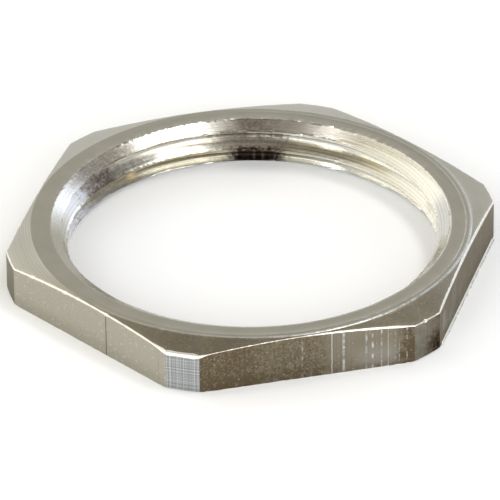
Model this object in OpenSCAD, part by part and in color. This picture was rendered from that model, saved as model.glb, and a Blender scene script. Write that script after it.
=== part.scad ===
// Locknut for a cable gland: a thin turned hexagon with a fine internal thread.
// It lies flat, with its lower face on z = 0 and the thread's axis on z.

/* [Hexagon] */
// Distance across two opposite flats
across_flats = 32; // [20:0.5:50]
// Thickness from the lower face to the upper ring face
thickness = 3.5; // [3:0.1:6]
// How far the turned corners stand out beyond the flats
corner_overhang = 1.8; // [1:0.05:2.3]

/* [Upper side] */
// Distance from the flats in to the edge of the ring round the hole
ring_inset = 0.2; // [0.05:0.05:0.6]
// Slope of the cone that falls from the ring to the corners
cone_angle = 14; // [8:0.5:25]

/* [Lower side] */
// Height of the light bevel turned on the lower corners
lower_bevel_h = 0.1; // [0.05:0.01:0.4]
// Slope of that bevel
lower_bevel_angle = 20; // [12:1:40]

/* [Thread] */
// Least wall, from the thread's roots out to the middle of a flat
flat_wall = 1.85; // [1.5:0.05:3]
// Depth of the thread, from its crests to its roots
thread_depth = 0.75; // [0.5:0.01:0.8]
// Rise of the thread in one turn, a sixteenth of an inch
pitch = 1.5875; // [1.5:0.0125:1.8]
// Angle between the two flanks of the groove
flank_angle = 80; // [55:1:82]
// Direction in which the groove's middle crosses the lower face
thread_start = 284; // [0:1:359]

/* [Countersinks] */
// How far both mouths of the hole reach out beyond the thread's roots
mouth_margin = 0.25; // [0.1:0.05:0.6]
// Angle between opposite sides of each countersink
mouth_angle = 130; // [90:1:140]

/* [Hidden] */

// Smoothness of round walls, and steps of the thread in one turn
$fn = 180;
thread_steps = 72;

// Radii, all told from the flats
flat_r = across_flats / 2;
corner_r = flat_r + corner_overhang;
ring_r = flat_r - ring_inset;
major_r = flat_r - flat_wall;
minor_r = major_r - thread_depth;
mouth_r = major_r + mouth_margin;

// How far cutting shapes pass beyond the faces that they cut
cut = 1;
// Fall of the cone from the ring to the corners, and width of the bevel below
cone_drop = (corner_r - ring_r) * tan(cone_angle);
bevel_w = lower_bevel_h / tan(lower_bevel_angle);

// Depth of a countersink, down to the crests
mouth_depth = (mouth_r - minor_r) / tan(mouth_angle / 2);
mouth_reach = cut / tan(mouth_angle / 2);

// Thread section: crests and roots are flats of one height between the flanks
flank_rise = tan(flank_angle / 2);
flat_half = (pitch / 2 - thread_depth * flank_rise) / 2;

// The groove's cutter ends inside the bore, before it would meet its next turn
inner_half = (pitch - flat_half) / 2;
inner_r = minor_r - flat_half / 2 / flank_rise;

locknut();

// The whole nut: hexagon, turned outline, bore, countersinks and thread
module locknut() {
    color([0.62, 0.61, 0.55])
    difference() {
        intersection() {
            hexagon();
            turned_outline();
        }
        bore();
        lower_countersink();
        upper_countersink();
        thread_groove();
    }
}

// Hexagon bar with two of its corners on the x axis
module hexagon() {
    translate([0, 0, -cut])
    cylinder(h = thickness + 2 * cut, r = flat_r / cos(30), $fn = 6);
}

// What turning leaves: flat ring, cone, round corners and a light bevel below
module turned_outline() {
    rotate_extrude()
    polygon([
        [0, 0],
        [corner_r - bevel_w, 0],
        [corner_r, lower_bevel_h],
        [corner_r, thickness - cone_drop],
        [ring_r, thickness],
        [0, thickness],
    ]);
}

// Straight bore through the crests of the thread
module bore() {
    translate([0, 0, -cut])
    cylinder(h = thickness + 2 * cut, r = minor_r);
}

// Cone at the lower mouth of the bore, carried on below the face
module lower_countersink() {
    translate([0, 0, -mouth_reach])
    cylinder(h = mouth_depth + mouth_reach, r1 = mouth_r + cut, r2 = minor_r);
}

// Cone at the upper mouth, carried on above the face
module upper_countersink() {
    translate([0, 0, thickness - mouth_depth])
    cylinder(h = mouth_depth + mouth_reach, r1 = minor_r, r2 = mouth_r + cut);
}

// Height of the groove's middle at a turn angle
function groove_z(a) = pitch * (a - thread_start) / 360;

// Four corners of the groove's section at a turn angle
function groove_section(a) = [
    for (q = [
        [inner_r, -inner_half],
        [major_r, -flat_half],
        [major_r, flat_half],
        [inner_r, inner_half],
    ])
    [q[0] * cos(a), q[0] * sin(a), groove_z(a) + q[1]]
];

// Right-hand helical groove that passes out through both faces
module thread_groove() {
    first = thread_start - 360;
    turns = thickness / pitch + 2;
    last_step = ceil(turns * thread_steps);
    step = 360 / thread_steps;
    points = [for (i = [0:last_step]) each groove_section(first + i * step)];
    sides = [
        for (i = [0:last_step - 1], j = [0:3])
        let (a = 4 * i + j, b = 4 * i + (j + 1) % 4)
        each [[a, b, b + 4], [a, b + 4, a + 4]]
    ];
    far = 4 * last_step;
    ends = [[3, 2, 1, 0], [far, far + 1, far + 2, far + 3]];
    polyhedron(points = points, faces = concat(sides, ends), convexity = 10);
}
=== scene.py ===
"""Cable gland locknut, nickel-plated brass, lying flat on a pale studio floor."""

import math
import random

import bmesh
import bpy
from mathutils import Euler, Matrix, Vector


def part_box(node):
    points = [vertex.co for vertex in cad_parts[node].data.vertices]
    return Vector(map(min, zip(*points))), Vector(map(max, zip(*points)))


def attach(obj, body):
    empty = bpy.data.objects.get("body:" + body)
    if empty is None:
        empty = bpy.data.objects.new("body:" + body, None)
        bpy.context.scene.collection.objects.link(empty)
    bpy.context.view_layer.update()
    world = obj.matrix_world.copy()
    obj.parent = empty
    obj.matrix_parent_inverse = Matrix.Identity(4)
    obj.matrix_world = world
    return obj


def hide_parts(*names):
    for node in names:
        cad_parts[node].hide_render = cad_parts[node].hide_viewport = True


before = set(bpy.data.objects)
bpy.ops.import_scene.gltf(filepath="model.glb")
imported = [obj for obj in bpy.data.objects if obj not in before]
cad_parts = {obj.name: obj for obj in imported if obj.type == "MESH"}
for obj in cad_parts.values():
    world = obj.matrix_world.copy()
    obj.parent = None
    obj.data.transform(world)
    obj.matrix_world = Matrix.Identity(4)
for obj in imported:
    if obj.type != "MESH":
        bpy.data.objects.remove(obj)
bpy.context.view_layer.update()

bl_info = {
    "name": "Cable gland locknut",
    "version": (1, 0, 0),
    "blender": (4, 5, 0),
    "location": "3D View > Sidebar > Locknut",
    "description": "Builds a nickel-plated hexagon locknut with a fine internal thread",
    "category": "Add Mesh",
}

MM = 0.001
NODE = "locknut"
NUT_LOW, NUT_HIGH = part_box(NODE)
# Surfaces of the blank, in the order of its materials
FACES = ("turned", "flat", "corner", "lower", "edge")


# Settings that a user may change


def length_setting(name, description, default):
    """A length in metres."""
    return bpy.props.FloatProperty(
        name=name, description=description, default=default, unit="LENGTH"
    )


def angle_setting(name, description, degrees):
    """An angle, given in degrees."""
    return bpy.props.FloatProperty(
        name=name, description=description, default=math.radians(degrees), subtype="ANGLE"
    )


def colour_setting(name, description, red, green, blue):
    """A colour."""
    return bpy.props.FloatVectorProperty(
        name=name,
        description=description,
        default=(red, green, blue, 1.0),
        subtype="COLOR",
        size=4,
    )


class NutSizes(bpy.types.PropertyGroup):
    """Sizes of the turned blank"""

    across_flats: length_setting(
        "Across flats", "Distance between two opposite flats", NUT_HIGH.y - NUT_LOW.y
    )
    thickness: length_setting(
        "Thickness", "From the lower face to the upper ring", NUT_HIGH.z - NUT_LOW.z
    )
    corner_radius: length_setting(
        "Corner radius", "From the axis out to the turned corners", NUT_HIGH.x
    )
    ring_radius: length_setting(
        "Ring radius", "Outer radius of the flat ring round the hole", 15.8 * MM
    )
    cone_angle: angle_setting(
        "Cone slope", "Slope of the cone that falls from the ring to the corners", 14
    )
    bevel_height: length_setting(
        "Lower bevel", "Height of the bevel turned on the lower corners", 0.1 * MM
    )
    bevel_angle: angle_setting("Lower bevel slope", "Slope of the bevel on the lower corners", 20)
    edge_round: length_setting(
        "Edge rounding", "Mean radius of the worn upper edge of the flats", 0.13 * MM
    )
    foot_round: length_setting("Foot rounding", "Radius of the lower edge of the flats", 0.05 * MM)
    columns: bpy.props.IntProperty(
        name="Columns",
        description="Even steps round the nut, a multiple of twelve",
        default=720,
        min=144,
    )
    seed: bpy.props.IntProperty(
        name="Seed", description="Seed of the wear along the edges", default=7
    )


class ThreadSizes(bpy.types.PropertyGroup):
    """Sizes of the internal thread and its countersinks"""

    crest_radius: length_setting(
        "Crest radius", "Radius of the bore through the thread's crests", 13.4 * MM
    )
    root_radius: length_setting(
        "Root radius", "Radius at the bottom of the thread's groove", 14.15 * MM
    )
    pitch: length_setting("Pitch", "Rise of the thread in one turn", 1.5875 * MM)
    flank_angle: angle_setting("Flank angle", "Angle between the two flanks of the groove", 80)
    start: angle_setting("Start", "Direction in which the groove crosses the lower face", 284)
    mouth_radius: length_setting("Mouth radius", "Radius of both mouths of the hole", 14.4 * MM)
    mouth_angle: angle_setting("Mouth angle", "Angle between opposite sides of a countersink", 130)
    rows: bpy.props.IntProperty(
        name="Rows in a turn",
        description="Rows of faces in one pitch of the thread",
        default=36,
        min=12,
    )
    rim_burr: length_setting(
        "Rim burr", "Height of the beaded burr round the upper mouth", 0.07 * MM
    )
    crest_burr: length_setting(
        "Crest burr", "Height of the burr along the thread's crests", 0.1 * MM
    )
    offset: bpy.props.FloatVectorProperty(
        name="Offset",
        description="How far the tap ran off the nut's axis",
        default=(0.1 * MM, -0.03 * MM),
        size=2,
        unit="LENGTH",
    )
    bead_length: length_setting("Bead length", "Length of the beads of the burrs", 0.37 * MM)


class FinishColours(bpy.types.PropertyGroup):
    """Colours of the plating, some of them also laid as painted light and shade"""

    nickel: colour_setting("Nickel", "Colour of the clean plating", 0.366, 0.351, 0.288)
    # This colour also serves as painted light on the left of the cone
    bright: colour_setting("Rubbed nickel", "Colour of freshly cut metal", 0.70, 0.695, 0.66)
    # This colour is rubbed metal, and also a painted highlight on the foot and a painted
    # reflection in the thread
    polish_and_highlight: colour_setting("Rubbed edge", "Colour of the edges, rubbed bright", 0.86, 0.84, 0.78)
    # This colour is real tarnish, and also painted shade on the flats, the corners and deep in the
    # thread's groove
    tarnish_and_shade: colour_setting("Tarnish", "Colour of the brown tarnish", 0.088, 0.067, 0.045)
    stain: colour_setting("Stain", "Colour of the stains on the hole's wall", 0.15, 0.108, 0.082)
    # This colour is a real dark stain on a corner, and also a painted dark reflection in the
    # thread's groove
    soot_and_shade: colour_setting("Soot", "Colour of the darkest stains", 0.028, 0.016, 0.012)
    brass: colour_setting("Brass", "Colour where the brass shows through", 0.42, 0.32, 0.14)
    olive: colour_setting(
        "Worn thread", "Colour of the thread's dull crests and roots", 0.36, 0.325, 0.20
    )
    steel: colour_setting(
        "Bluish corner", "Colour of the turned corner with crossing lines", 0.235, 0.245, 0.238
    )
    # This colour is a painted highlight, a golden glint in the thread
    painted_glint: colour_setting(
        "Golden glint", "Colour where bare brass shines in the thread", 0.92, 0.72, 0.44
    )
    frost: colour_setting("Bluish lines", "Colour of bright tool lines", 0.66, 0.69, 0.705)


class StageSettings(bpy.types.PropertyGroup):
    """Floor, light and camera"""

    floor_colour: colour_setting("Floor", "Colour of the floor", 0.90, 0.915, 0.94)
    soft_strength: bpy.props.FloatProperty(
        name="Soft lights",
        description="Strength of all the soft lights",
        default=1.0,
        min=0.0,
    )
    room_strength: bpy.props.FloatProperty(
        name="Room light",
        description="Strength of the even light of the room",
        default=1.0,
        min=0.0,
    )
    lens: bpy.props.FloatProperty(
        name="Lens",
        description="Focal length in millimetres on a 36 mm sensor",
        default=514.0,
        min=20.0,
    )


# Helpers for node trees


class Tree:
    """Adds nodes to a tree. A value is a number, a vector or another node's socket."""

    def __init__(self, tree):
        self.tree = tree

    def feed(self, socket, value):
        """Links a socket into this one, or sets its own value."""
        if isinstance(value, bpy.types.NodeSocket):
            self.tree.links.new(value, socket)
        else:
            socket.default_value = value

    def add(self, kind, inputs=None, **settings):
        """Adds a node with its settings and inputs."""
        node = self.tree.nodes.new(kind)
        for name, value in settings.items():
            setattr(node, name, value)
        for key, value in (inputs or {}).items():
            self.feed(node.inputs[key], value)
        return node

    def math(self, operation, *values, clamp=False):
        """One step of arithmetic."""
        node = self.add("ShaderNodeMath", operation=operation, use_clamp=clamp)
        for socket, value in zip(node.inputs, values):
            self.feed(socket, value)
        return node.outputs[0]

    def total(self, *values):
        """The sum of several values."""
        found = values[0]
        for value in values[1:]:
            found = self.math("ADD", found, value)
        return found

    def times(self, *values):
        """The product of several values."""
        found = values[0]
        for value in values[1:]:
            found = self.math("MULTIPLY", found, value)
        return found

    def greatest(self, *values):
        """The greatest of several values."""
        found = values[0]
        for value in values[1:]:
            found = self.math("MAXIMUM", found, value)
        return found

    def vector(self, x=0.0, y=0.0, z=0.0):
        """A vector of three values."""
        return self.add("ShaderNodeCombineXYZ", {0: x, 1: y, 2: z}).outputs[0]

    def parts(self, vector):
        """The X, Y and Z of a vector, by name."""
        return self.add("ShaderNodeSeparateXYZ", {0: vector}).outputs

    def noise(self, dimensions="3D", **inputs):
        """Seeded noise between 0 and 1."""
        return self.add("ShaderNodeTexNoise", inputs, noise_dimensions=dimensions).outputs[0]

    def minus(self, a, b):
        return self.math("SUBTRACT", a, b)

    def over(self, a, b):
        return self.math("DIVIDE", a, b)

    def fade(self, value, low, high, start=0.0, end=1.0):
        """A smooth step from start at low to end at high."""
        node = self.add("ShaderNodeMapRange", interpolation_type="SMOOTHSTEP")
        for name, given in zip(
            ("Value", "From Min", "From Max", "To Min", "To Max"),
            (value, low, high, start, end),
        ):
            self.feed(node.inputs[name], given)
        return node.outputs["Result"]

    def span(self, value, start, full, fall, end):
        """Rises from 0 at start to 1 at full, and falls from 1 at fall to 0 at end."""
        return self.times(self.fade(value, start, full), self.fade(value, fall, end, 1.0, 0.0))


def sockets(tree, direction, rows):
    """Adds named sockets to a group: (kind, name, default)."""
    for kind, name, default in rows:
        made = tree.interface.new_socket(
            name=name, in_out=direction, socket_type="NodeSocket" + kind
        )
        if default is not None:
            made.default_value = default


def set_stops(ramp, stops):
    """Sets the stops of a colour ramp: (place, colour)."""
    points = ramp.color_ramp.elements
    while len(points) < len(stops):
        points.new(1.0)
    for point, (place, colour) in zip(points, stops):
        point.position = place
        point.color = (*colour, 1.0)


# The turned blank

# Size of the light round where a flat meets a turned corner
CORNER_EDGE_SOFT = 0.025 * MM
# Extra columns of faces beside each such edge, in degrees from it
EXTRA_COLUMNS = (-0.35, -0.2, -0.1, -0.04, 0.0, 0.04, 0.1, 0.2, 0.35)
# Where the worn upper edge is wider or finer than its mean: (degrees, share of the mean)
EDGE_WEAR = (
    (0, 1.0), (180, 0.9), (232, 0.9), (236, 2.3), (243, 2.3), (246, 0.3), (268, 0.35),
    (278, 0.8), (292, 1.0), (296, 0.5), (303, 0.5), (306, 1.3), (345, 1.3), (360, 1.0),
)
# Nicks in that edge: (degrees, half width in degrees, share of the mean added)
NICKS = (
    (189.9, 0.7, 0.5), (201.4, 0.7, 0.8), (205.8, 0.6, 0.5), (216.3, 0.5, 0.8),
    (299.3, 0.5, 1.8),
)
# Burr squeezed out along the foot of one flat: where it is in degrees, and how soon it is full
FOOT_BURR_FROM, FOOT_BURR_TO, FOOT_BURR_END = 304.0, 356.0, 0.6
FOOT_BURR_REACH, FOOT_BURR_HEIGHT = 0.16 * MM, 0.2 * MM
# Points round the foot: (degrees round the edge, share of the burr's reach, of its height)
FOOT_POINTS = ((22.5, 0.8, 0.02), (45, 1.0, 0.35), (67.5, 0.65, 0.75), (90, 0.0, 1.0))
# Places of the rings of faces on the lower face, from the mouth to the foot
LOWER_RINGS = (0.1, 0.4, 0.75)
# Places of the rows of faces up the side, and round its worn upper edge
FIFTHS = (0.2, 0.4, 0.6, 0.8, 1.0)
# Places of the rings of faces on the cone, from its outer end to just outside the ring
CONE_RINGS = (0.3, 0.6, 0.85)
CONE_END, RING_START = 0.06 * MM, 0.05 * MM
# Room left between the worn upper edge and the raised line at the ring's edge
RIDGE_ROOM = 0.08 * MM
# Raised lines on the ring: heaviest direction, height there, and their section in
# (millimetres out from the ring's edge, share of the height)
RIDGE_SIDE = math.radians(325)
RIDGE_HEIGHT = 0.03 * MM
RIDGE_SECTION = ((0.01, 1.0), (-0.04, 0.0), (-0.34, 0.0), (-0.38, 0.7), (-0.42, 0.0))
# Rings of faces on the flat ring beside the mouth, in millimetres out from it
MOUTH_RINGS = (0.55, 0.05)
# Seeded unevenness round the nut: how many levels each kind has
WEAR_STEPS = {"slow": 24, "fine": 380, "foot": 260, "ridge": 420}
# How much of it each size has: the foot, its burr, the worn edge (slow and fine), the raised line
FOOT_UNEVEN, BURR_UNEVEN, EDGE_SLOW, EDGE_FINE, RIDGE_UNEVEN = 0.4, 0.2, 0.15, 0.2, 0.3
# First row of faces of each part of the section
ROW_FOOT, ROW_SIDE, ROW_EDGE, ROW_CONE, ROW_RIM = 4, 8, 13, 18, 29
# Points of the blank nearer than the first become one, and edges under the second go
BLANK_MERGE, BLANK_DISSOLVE = 0.0004 * MM, 0.0002 * MM


class Wear:
    """Seeded unevenness that runs round the nut and meets itself."""

    def __init__(self, seed, steps):
        chance = random.Random(seed)
        self.levels = [chance.uniform(-1.0, 1.0) for _ in range(steps)]

    def at(self, angle):
        place = angle / math.tau % 1.0 * len(self.levels)
        first = int(place) % len(self.levels)
        share = place - int(place)
        share = share * share * (3 - 2 * share)
        second = (first + 1) % len(self.levels)
        return self.levels[first] * (1 - share) + self.levels[second] * share


def side_radius(sizes, angle):
    """Outer radius in a direction: flat or turned corner, with a light round between them."""
    turn = (angle % (math.pi / 3)) - math.pi / 6
    flat = sizes.across_flats / 2 / math.cos(turn)
    gap = abs(flat - sizes.corner_radius)
    dip = max(CORNER_EDGE_SOFT - gap, 0.0) ** 2 / (4 * CORNER_EDGE_SOFT)
    return min(flat, sizes.corner_radius) - dip


def corner_edge(sizes):
    """Angle from a corner's direction to the edge between the corner and a flat."""
    return math.pi / 6 - math.acos(sizes.across_flats / 2 / sizes.corner_radius)


def is_corner(sizes, angle):
    """True in the turned corners."""
    return abs((angle + math.pi / 6) % (math.pi / 3) - math.pi / 6) < corner_edge(sizes)


def column_angles(sizes):
    """Angles of the columns of faces, each with the even column that it joins at the mouths."""
    count = sizes.columns
    step = math.tau / count
    edge = corner_edge(sizes)
    extras = [math.radians(x) for x in EXTRA_COLUMNS]
    angles = []
    taken = set()
    for corner in range(6):
        for sign in (-1, 1):
            middle = corner * math.pi / 3 + sign * edge
            taken.add(round(middle / step) % count)
            angles += [(middle + x) % math.tau for x in extras]
    angles += [i * step for i in range(count) if i not in taken]
    return [(a, round(a / step) % count * step) for a in sorted(angles)]


def edge_wear(degrees):
    """How worn the upper edge is in a direction, as a share of the mean."""
    for (low, first), (high, second) in zip(EDGE_WEAR, EDGE_WEAR[1:]):
        if degrees <= high:
            share = first + (second - first) * (degrees - low) / (high - low)
            break
    for place, half, extra in NICKS:
        share += extra * max(1 - abs(degrees - place) / half, 0.0)
    return share


def foot_burr(degrees):
    """How full the burr along the foot is in a direction, from 0 to 1."""
    inside = min(degrees - FOOT_BURR_FROM, FOOT_BURR_TO - degrees)
    return min(max(inside / FOOT_BURR_END, 0.0), 1.0)


def lower_points(sizes, mouth, outer, angle, even_angle, wear):
    """Points of the lower face and the foot: a bevel on a corner, a small round on a flat."""
    bevel_from = sizes.corner_radius - sizes.bevel_height / math.tan(sizes.bevel_angle)
    foot = min(outer, bevel_from)
    foot_z = (outer - foot) * math.tan(sizes.bevel_angle)
    uneven = wear["foot"].at(angle)
    small = sizes.foot_round * (1 + FOOT_UNEVEN * uneven)

    points = [(mouth, 0.0, even_angle)]
    points += [(mouth + (foot - mouth) * t, 0.0, angle) for t in LOWER_RINGS]
    points.append((foot - small, 0.0, angle))
    if foot_z > small * 0.5:
        points.append((foot, 0.0, angle))
        points += [(foot + (outer - foot) * 0.5, foot_z * 0.5, angle)] * 2
        points.append((outer, foot_z, angle))
        return points
    full = foot_burr(math.degrees(angle) % 360)
    reach = FOOT_BURR_REACH * (1 + BURR_UNEVEN * uneven)
    for degrees, out, up in FOOT_POINTS:
        a = math.radians(degrees)
        r, z = foot - small + small * math.sin(a), small - small * math.cos(a)
        burr_r, burr_z = outer + reach * out, FOOT_BURR_HEIGHT * up
        points.append((r + (burr_r - r) * full, z + (burr_z - z) * full, angle))
    return points


def side_points(sizes, outer, low, angle, wear):
    """Points up the side from its foot, and round its worn upper edge."""
    uneven = 1 + EDGE_SLOW * wear["slow"].at(angle) + EDGE_FINE * wear["fine"].at(angle)
    worn = edge_wear(math.degrees(angle) % 360) * sizes.edge_round * uneven
    sweep = math.pi / 2 - sizes.cone_angle
    worn = min(worn, (outer - sizes.ring_radius - RIDGE_ROOM) / (1 - math.cos(sweep)))
    cone_z = sizes.thickness - (outer - sizes.ring_radius) * math.tan(sizes.cone_angle)
    top = cone_z - worn * math.tan(sweep / 2)

    points = [(outer, low + (top - low) * t, angle) for t in FIFTHS]
    for part in FIFTHS:
        a = sweep * part
        points.append((outer - worn * (1 - math.cos(a)), top + worn * math.sin(a), angle))
    return points


def upper_points(sizes, mouth, end, angle, even_angle, wear):
    """Points of the cone from its outer end, and of the ring with its raised lines."""
    high, edge = sizes.thickness, sizes.ring_radius
    slope = math.tan(sizes.cone_angle)
    ridge = wear["ridge"].at(angle) * RIDGE_UNEVEN + 1 - RIDGE_UNEVEN
    heavy = 0.5 + 0.5 * math.cos(angle - RIDGE_SIDE)
    lift = RIDGE_HEIGHT * ridge * heavy

    radii = [end + (edge + CONE_END - end) * t for t in CONE_RINGS]
    points = [(r, high - (r - edge) * slope, angle) for r in radii]
    points.append((edge + RING_START, high - RING_START * slope, angle))
    points += [(edge + out * MM, high + lift * up, angle) for out, up in RIDGE_SECTION]
    points += [(mouth + out * MM, high, angle) for out in MOUTH_RINGS]
    points.append((mouth, high, even_angle))
    return points


def section(sizes, mouth, angle, even_angle, wear):
    """Points of the outer section in one direction, from the lower mouth to the upper one."""
    outer = side_radius(sizes, angle)
    points = lower_points(sizes, mouth, outer, angle, even_angle, wear)
    points += side_points(sizes, outer, points[-1][1], angle, wear)
    return points + upper_points(sizes, mouth, points[-1][0], angle, even_angle, wear)


def face_kind(row, in_corner):
    """The surface of the nut that a row of faces belongs to."""
    if row < ROW_FOOT:
        return "lower"
    if row < ROW_SIDE or ROW_EDGE <= row < ROW_CONE or row >= ROW_RIM:
        return "edge"
    if row < ROW_EDGE:
        return "corner" if in_corner else "flat"
    return "turned"


def turned_blank(sizes, mouth):
    """The hexagon with its cone, ring and lower face, open at both mouths of the hole."""
    wear = {
        name: Wear(sizes.seed + place, steps)
        for place, (name, steps) in enumerate(WEAR_STEPS.items())
    }
    columns = column_angles(sizes)
    mesh = bmesh.new()
    rows = []
    for angle, even_angle in columns:
        points = section(sizes, mouth, angle, even_angle, wear)
        rows.append(
            [mesh.verts.new((r * math.cos(a), r * math.sin(a), z)) for r, z, a in points]
        )
    for i, (angle, _) in enumerate(columns):
        following = (i + 1) % len(columns)
        here, after = rows[i], rows[following]
        width = (columns[following][0] - angle) % math.tau
        in_corner = is_corner(sizes, angle + width / 2)
        for j in range(len(here) - 1):
            face = mesh.faces.new((here[j], after[j], after[j + 1], here[j + 1]))
            face.material_index = FACES.index(face_kind(j, in_corner))
            face.smooth = True
    bmesh.ops.remove_doubles(mesh, verts=mesh.verts, dist=BLANK_MERGE)
    bmesh.ops.dissolve_degenerate(mesh, edges=mesh.edges, dist=BLANK_DISSOLVE)
    made = bpy.data.meshes.new("turned_blank")
    mesh.to_mesh(made)
    mesh.free()
    return made


# The threaded wall

WALL_INPUTS = [
    ("Geometry", "Blank", None),
    ("Int", "Columns", 720),
    ("Int", "Rows", 36),
    ("Float", "Height", 3.5 * MM),
    ("Float", "Crest Radius", 13.4 * MM),
    ("Float", "Root Radius", 14.15 * MM),
    ("Float", "Pitch", 1.5875 * MM),
    ("Float", "Flank Rise", 0.839),
    ("Float", "Start", 0.789),
    ("Float", "Mouth Radius", 14.4 * MM),
    ("Float", "Mouth Slope", 2.145),
    ("Float", "Edge Softness", 0.03 * MM),
    ("Float", "Rim Burr", 0.07 * MM),
    ("Float", "Crest Burr", 0.1 * MM),
    ("Float", "Offset X", 0.0),
    ("Float", "Offset Y", 0.0),
    ("Float", "Bead Length", 0.37 * MM),
    ("Float", "Seed", 3.0),
    ("Material", "Thread Finish", None),
    ("Material", "Mouth Finish", None),
]
# Direction in which the burr round the upper mouth is heaviest, and the cosines of the angles
# from it at which the burr begins and is full
RIM_BURR_SIDE = math.radians(85)
RIM_BURR_SPREAD = (0.1, 0.6)
# Widths over which the crests' burr fades: on the crest, and beside the countersinks
CREST_FADE, MOUTH_FADE = 0.05 * MM, 0.02 * MM
# How far the pattern of beads moves from one turn of the thread to the next, its place for the
# burr round the mouth, and the least share of its height that the crests' burr has
BEADS_STEP, BEADS_AT_RIM, BEADS_LEAST = 7.3, 31.0, 0.6
# Levels of the noise between which a bead rises, on the crests and round the mouth
CREST_BEADS, RIM_BEADS = (0.35, 0.65), (0.42, 0.66)
# Points of the wall nearer than this become one
WALL_MERGE = 0.001 * MM
# Edges folded more than this are shaded sharp
SHARP_FOLD = math.radians(32)


def wall_grid(t, given):
    """A sheet that is rolled up into the wall: its mesh, share of a turn and height."""
    pitch, height = given["Pitch"], given["Height"]
    turns = t.math("ADD", t.over(height, pitch), 1.0)
    row_count = t.math("CEIL", t.times(turns, given["Rows"]))
    grid = t.add(
        "GeometryNodeMeshGrid",
        {
            "Size X": 1.0,
            "Size Y": 1.0,
            "Vertices X": t.math("ADD", given["Columns"], 1.0),
            "Vertices Y": t.math("ADD", row_count, 1.0),
        },
    )
    place = t.parts(t.add("GeometryNodeInputPosition").outputs[0])
    around = t.math("ADD", place["X"], 0.5)
    row = t.math("ROUND", t.times(t.math("ADD", place["Y"], 0.5), row_count))
    # The rows climb with the thread, and are pressed flat at both faces of the nut
    start_z = t.minus(t.times(row, t.over(pitch, given["Rows"])), pitch)
    climbed = t.total(start_z, t.times(pitch, around))
    z = t.math("MAXIMUM", t.math("MINIMUM", climbed, height), 0.0)
    return grid.outputs["Mesh"], around, z


def groove(t, given, around, z):
    """Radius of the thread, rise from the groove's middle, and how near a crest's edge it is."""
    pitch, soft = given["Pitch"], given["Edge Softness"]
    phase = t.minus(z, t.times(pitch, t.minus(around, given["Start"])))
    half = t.times(pitch, 0.5)
    away = t.math("ABSOLUTE", t.math("WRAP", phase, half, t.times(half, -1.0)))
    depth = t.minus(given["Root Radius"], given["Crest Radius"])
    flat_half = t.times(t.minus(half, t.times(depth, given["Flank Rise"])), 0.5)
    drop = t.over(t.minus(away, flat_half), given["Flank Rise"])
    radius = t.minus(given["Root Radius"], drop)
    radius = t.math("SMOOTH_MAX", radius, given["Crest Radius"], soft)
    radius = t.math("SMOOTH_MIN", radius, given["Root Radius"], soft)
    to_crest = t.minus(half, away)
    on_crest = t.fade(to_crest, flat_half, t.total(flat_half, CREST_FADE), 1.0, 0.0)
    return radius, phase, on_crest


def beads(t, given, cosine, sine, lift, low, high):
    """Seeded beads of burr that meet themselves after a turn."""
    reach = t.over(given["Crest Radius"], given["Bead Length"])
    where = t.vector(t.times(cosine, reach), t.times(sine, reach), lift)
    noise = t.noise("4D", Vector=where, W=given["Seed"], Scale=1.0, Detail=1.0)
    return t.fade(noise, low, high)


def change(t, geometry, kind, inputs=None, **settings):
    """One step on a geometry, by the last word of its node's name."""
    values = {"Geometry": geometry, **(inputs or {})}
    return t.add("GeometryNode" + kind, values, **settings).outputs[0]


def keep_value(t, geometry, name, value, domain="POINT"):
    """Keeps a value on a mesh under a name."""
    values = {"Name": name, "Value": value}
    return change(t, geometry, "StoreNamedAttribute", values, data_type="FLOAT", domain=domain)


def kept_value(t, name):
    """Reads a value that was kept on a mesh."""
    node = t.add("GeometryNodeInputNamedAttribute", {"Name": name}, data_type="FLOAT")
    return node.outputs["Attribute"]


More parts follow.
